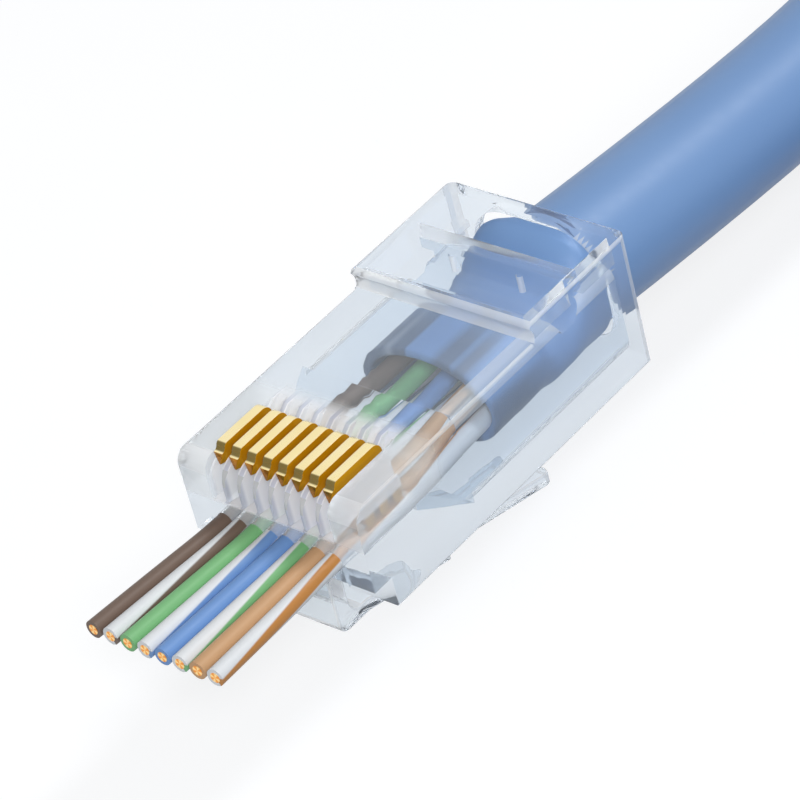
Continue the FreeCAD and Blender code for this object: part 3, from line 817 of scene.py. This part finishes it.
def lengthened(points, more):
    """The same line with both ends this much further out."""
    first = points[0] + (points[0] - points[1]).normalized() * more
    last = points[-1] + (points[-1] - points[-2]).normalized() * more
    return [first, *points[1:-1], last]


def make_wire_part(name, part, line, sizes):
    """Insulation or conductor of one wire, along its line."""
    source = open_curve(part + "_line", line)
    piece = grow("%s_of_%s" % (part, name), source, ROUND_WIRE, sizes)
    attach(piece, PLUG)
    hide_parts("%s_%s" % (part, name))


def make_wires():
    for index, name in enumerate(WIRE_COLOURS):
        line = [on_plug(*place) for place in wire_route(index)]
        insulation = {
            "Radius": (WIRE_RADIUS - INSULATION_PLAY) * MM,
            "Sides": INSULATION_SIDES,
            "Material": WIRE_FINISH[name],
        }
        conductor = {
            "Radius": COPPER_RADIUS * MM,
            "Sides": COPPER_SIDES,
            "Material": FINISH["copper"],
        }
        make_wire_part(name, "insulation", line, insulation)
        make_wire_part(name, "conductor", lengthened(line, COPPER_PROUD * MM), conductor)


make_wires()


# ---------------------------------------------------------------------------
# Jacket inside the plug
# ---------------------------------------------------------------------------

# place along the plug, middle across, middle up, half width, half height,
# and 1 for an oval or less for a squarer section
JACKET_STATIONS = (
    (12.0, 0.0, 3.375, 4.3, 2.615, 1.0),
    (16.0, 0.0, 3.375, 4.3, 2.615, 1.0),
    (17.1, 0.0, 2.92, 4.28, 2.15, 1.0),
    (18.3, 0.0, 2.92, 4.25, 2.15, 1.0),
    (21.6, 0.03, 3.97, 4.05, 3.4, 0.72),
    (22.46, 0.6, 4.0, 3.5, 3.5, 1.0),
)
JACKET_CUT = JACKET_STATIONS[0][0]
JACKET_MOUTH = JACKET_STATIONS[-1][0]
JACKET_SIDES = 64
BORE_DEPTH = 16.6            # where the modelled bore ends
BORE_RINGS = 20
OUTSIDE_RINGS = 44
JACKET_WALL = 0.55
RIM_REACH = 0.12             # of the cut end's rounded rim, along the jacket
# the rim's own rings: place past the cut, and depth under the outside
JACKET_RIM = ((0.04, 0.5), (0.0, 0.4), (0.0, 0.15), (0.04, 0.05))


def between_stations(y):
    """Middle, half sizes and shape of the jacket at one place, eased from one station to the next."""
    for (y0, *a), (y1, *b) in zip(JACKET_STATIONS, JACKET_STATIONS[1:]):
        if y <= y1:
            t = eased((y - y0) / (y1 - y0))
            return [p + (q - p) * t for p, q in zip(a, b)]
    return list(JACKET_STATIONS[-1][1:])


def squarish(share, power):
    return math.copysign(abs(share) ** power, share)


def jacket_ring(bm, y, depth):
    """Ring of points round the jacket at one place, this far under its outside."""
    x, z, half_width, half_height, power = between_stations(y)
    ring = []
    for k in range(JACKET_SIDES):
        angle = math.tau * k / JACKET_SIDES
        across = (half_width - depth) * squarish(math.cos(angle), power)
        up = (half_height - depth) * squarish(math.sin(angle), power)
        ring.append(bm.verts.new(on_plug(x + across, y, z + up)))
    return ring


def make_jacket():
    """One skin, out of the bore, round the cut end's rim and back to the plug's mouth."""
    rim = JACKET_CUT + RIM_REACH
    bm = bmesh.new()
    rings = [jacket_ring(bm, y, JACKET_WALL) for y in evenly(BORE_DEPTH, rim, BORE_RINGS)]
    rings += [jacket_ring(bm, JACKET_CUT + past, depth) for past, depth in JACKET_RIM]
    rings += [jacket_ring(bm, y, 0) for y in evenly(rim, JACKET_MOUTH, OUTSIDE_RINGS)]
    skin(bm, rings)
    bm.faces.new(rings[0])
    bm.faces.new(list(reversed(rings[-1])))
    bmesh.ops.recalc_face_normals(bm, faces=bm.faces)
    mesh = mesh_from(bm, "gripped_jacket")
    mesh.shade_smooth()
    mesh.set_sharp_from_angle(angle=math.radians(50))
    mesh.materials.append(FINISH["jacket"])
    piece = linked("gripped_jacket", mesh)
    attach(piece, PLUG)
    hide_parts("cable_jacket")


make_jacket()


# ---------------------------------------------------------------------------
# Housing and latch
# ---------------------------------------------------------------------------

NARROW_FACE = 0.14           # width under which a face belongs to a rounded edge
HOUSING_ROUND = 0.06
LATCH_ROUND = 0.12


def mark_roundings(bm):
    """Gives the narrow faces of rounded edges the second finish, a milky white painted highlight."""
    for face in bm.faces:
        longest = max(edge.calc_length() for edge in face.edges)
        if face.calc_area() < longest * NARROW_FACE * MM:
            face.material_index = 1


def make_clear_parts():
    for node, body, width in (("housing", PLUG, HOUSING_ROUND), ("latch", LATCH, LATCH_ROUND)):
        mesh = merged_copy(node, "clear_" + node, mark_roundings)
        mesh.materials.append(FINISH[node])
        mesh.materials.append(FINISH["edge"])
        piece = linked("clear_" + node, mesh)
        soften(piece, width, angle=30, smooth=30, edge_finish=1)
        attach(piece, body)
        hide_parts(node)


make_clear_parts()


# ---------------------------------------------------------------------------
# Coil's tie
# ---------------------------------------------------------------------------

STRAP_CORNER = 3.2           # radius of its inside at the coil's four corners
STRAP_CORNER_STEPS = 8
STRAP_THICKNESS = 0.85 * TIE_THICKNESS
STRAP_GAP = 0.03             # between the strap and the line it follows
STRAP_ROUND = 0.15


def strap_line(inner, outer, bottom, top):
    """Rounded rectangle round both turns, as places along the plug and up."""
    low_y, high_y = inner + STRAP_CORNER, outer - STRAP_CORNER
    low_z, high_z = bottom + STRAP_CORNER, top - STRAP_CORNER
    corners = (
        (high_y, low_z, -90), (high_y, high_z, 0), (low_y, high_z, 90), (low_y, low_z, 180),
    )
    line = []
    for y, z, start in corners:
        for degrees in evenly(start, start + 90, STRAP_CORNER_STEPS):
            angle = math.radians(degrees)
            line.append((y + STRAP_CORNER * math.cos(angle), z + STRAP_CORNER * math.sin(angle)))
    return line


def make_strap():
    """Flat strap drawn round both turns, resting on the surface."""
    cx, cy, cz = coil_centre()
    outer = cy + COIL_RADIUS + CABLE_RADIUS
    inner = cy + COIL_RADIUS - COIL_PITCH - CABLE_RADIUS
    bottom = cz - CABLE_RADIUS
    line = strap_line(inner, outer, bottom, cz + CABLE_RADIUS + TIE_THICKNESS + TIE_EASE)
    half = TIE_WIDTH / 2
    near, far = STRAP_GAP, STRAP_GAP + STRAP_THICKNESS
    bm = bmesh.new()
    rows = []
    for index, (y, z) in enumerate(line):
        y0, z0 = line[index - 1]
        y1, z1 = line[(index + 1) % len(line)]
        away = Vector((z1 - z0, -(y1 - y0))).normalized()
        raised = max(z, bottom + TIE_EASE)
        rows.append([
            bm.verts.new(on_plug(cx + x, y + away.x * depth, raised + away.y * depth))
            for x, depth in ((-half, near), (half, near), (half, far), (-half, far))
        ])
    skin(bm, rows, closed=True)
    bmesh.ops.recalc_face_normals(bm, faces=bm.faces)
    drop = on_plug(0, 0, bottom).z - min(v.co.z for v in bm.verts)
    bmesh.ops.translate(bm, verts=bm.verts, vec=(0, 0, drop))
    piece = linked("coil_strap", mesh_from(bm, "coil_strap"))
    soften(piece, STRAP_ROUND)
    piece.data.materials.append(FINISH["strap"])
    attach(piece, PLUG)
    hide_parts("coil_tie")
    return piece


strap = make_strap()


# ---------------------------------------------------------------------------
# Cable's bare far end, and the cord as a whole
# ---------------------------------------------------------------------------

FAR_END_LENGTH = 4.0         # wires past the jacket's cut end
FAR_END_SPREAD = 1.7         # of the ring of wires, from the cable's middle
FAR_END_COPPER = 0.4         # of a conductor past its insulation
FAR_END_SIDES = 20


def add_rod(bm, foot, turn, radius, length, finish):
    """Round rod from its foot along the turned upright, with the finish of that number."""
    middle = foot + turn @ Vector((0, 0, length * MM / 2))
    made = bmesh.ops.create_cone(
        bm, cap_ends=True, segments=FAR_END_SIDES, radius1=radius * MM, radius2=radius * MM,
        depth=length * MM, matrix=Matrix.Translation(middle) @ turn.to_matrix().to_4x4(),
    )
    for face in {face for v in made["verts"] for face in v.link_faces}:
        face.material_index = finish
        face.smooth = len(face.verts) == 4


def make_far_end():
    """Ring of the eight wires standing out of the jacket, their copper cut just past them."""
    end = cable_path[-1]
    turn = (end - cable_path[-2]).to_track_quat("Z", "X")
    count = len(WIRE_COLOURS)
    bm = bmesh.new()
    for index in range(count):
        angle = math.tau * index / count
        foot = end + turn @ Vector((math.cos(angle), math.sin(angle), 0)) * FAR_END_SPREAD * MM
        add_rod(bm, foot, turn, WIRE_RADIUS, FAR_END_LENGTH, index)
        add_rod(bm, foot, turn, COPPER_RADIUS, FAR_END_LENGTH + FAR_END_COPPER, count)
    mesh = mesh_from(bm, "far_end_wires")
    for name in WIRE_COLOURS:
        mesh.materials.append(WIRE_FINISH[name])
    mesh.materials.append(FINISH["copper"])
    piece = linked("far_end_wires", mesh)
    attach(piece, PLUG)
    return piece


far_end = make_far_end()

free_cable.data.materials.append(FINISH["jacket"])
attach(free_cable, PLUG)
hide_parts("cable_run", "cable_coil")


# ---------------------------------------------------------------------------
# Floor, lamps and surroundings
# ---------------------------------------------------------------------------

WHITE_LIGHT = "FFFFFF"
FLOOR_HALF = 2.0             # metres
FLOOR_DROP = 0.02            # below the object's lowest point
FLOOR_LIFT = 0.76            # light that the floor adds where it is seen
WORLD_LIGHT = 0.21
SEEN_RAYS = ("Is Camera Ray", "Is Glossy Ray", "Is Transmission Ray")
LAMP_AIM = (0, 12, 3)
# name, place and size in metres, power in watts
LAMPS = (
    ("key", (0.31, -0.23, 0.32), 0.16, 1.3),
    ("fill", (0.05, -0.40, 0.20), 0.30, 0.35),
    ("rim", (0.12, 0.29, 0.41), 0.12, 0.85),
)


def pale_floor():
    """Matt pale board; what the eye and the clear parts see of it is lifted to white, with its shadow."""
    p = Paint("pale_floor")
    speck = p.noise(30.0, detail=4.0)
    board = p.principled(
        Base_Color=p.mix(speck, "8F9194", "989A9D"), Roughness=1.0, Specular_IOR_Level=0.0,
    )
    glow = p.node("ShaderNodeEmission", None, {"Color": colour(WHITE_LIGHT), "Strength": FLOOR_LIFT})
    lifted = p.node("ShaderNodeAddShader", None, {0: board, 1: glow})
    return p.finished(p.either(p.rays(*SEEN_RAYS), board, lifted))


def make_floor():
    bm = bmesh.new()
    bmesh.ops.create_grid(bm, x_segments=1, y_segments=1, size=FLOOR_HALF)
    mesh = mesh_from(bm, "floor")
    mesh.materials.append(pale_floor())
    floor = linked("floor", mesh)
    floor.location.z = min(cad_low[2], 0) - FLOOR_DROP * MM


def make_lamps():
    aim = on_plug(*LAMP_AIM)
    for name, place, size, power in LAMPS:
        data = bpy.data.lights.new(name, "AREA")
        data.shape = "DISK"
        data.size = size
        data.energy = power
        lamp = linked(name, data)
        lamp.location = place
        lamp.rotation_euler = (Vector(place) - aim).to_track_quat("Z", "Y").to_euler()


def make_world():
    """Soft light from all round, and white where it is seen directly, mirrored or through clear parts."""
    world = bpy.data.worlds.new("studio")
    bpy.context.scene.world = world
    p = Paint(owner=world)
    light, backdrop = [
        p.node("ShaderNodeBackground", None, {"Color": colour(WHITE_LIGHT), "Strength": strength})
        for strength in (WORLD_LIGHT, 1.0)
    ]
    p.finished(p.either(p.rays(*SEEN_RAYS), light, backdrop), "ShaderNodeOutputWorld")


make_floor()
make_lamps()
make_world()
bpy.context.scene.view_settings.view_transform = "Standard"
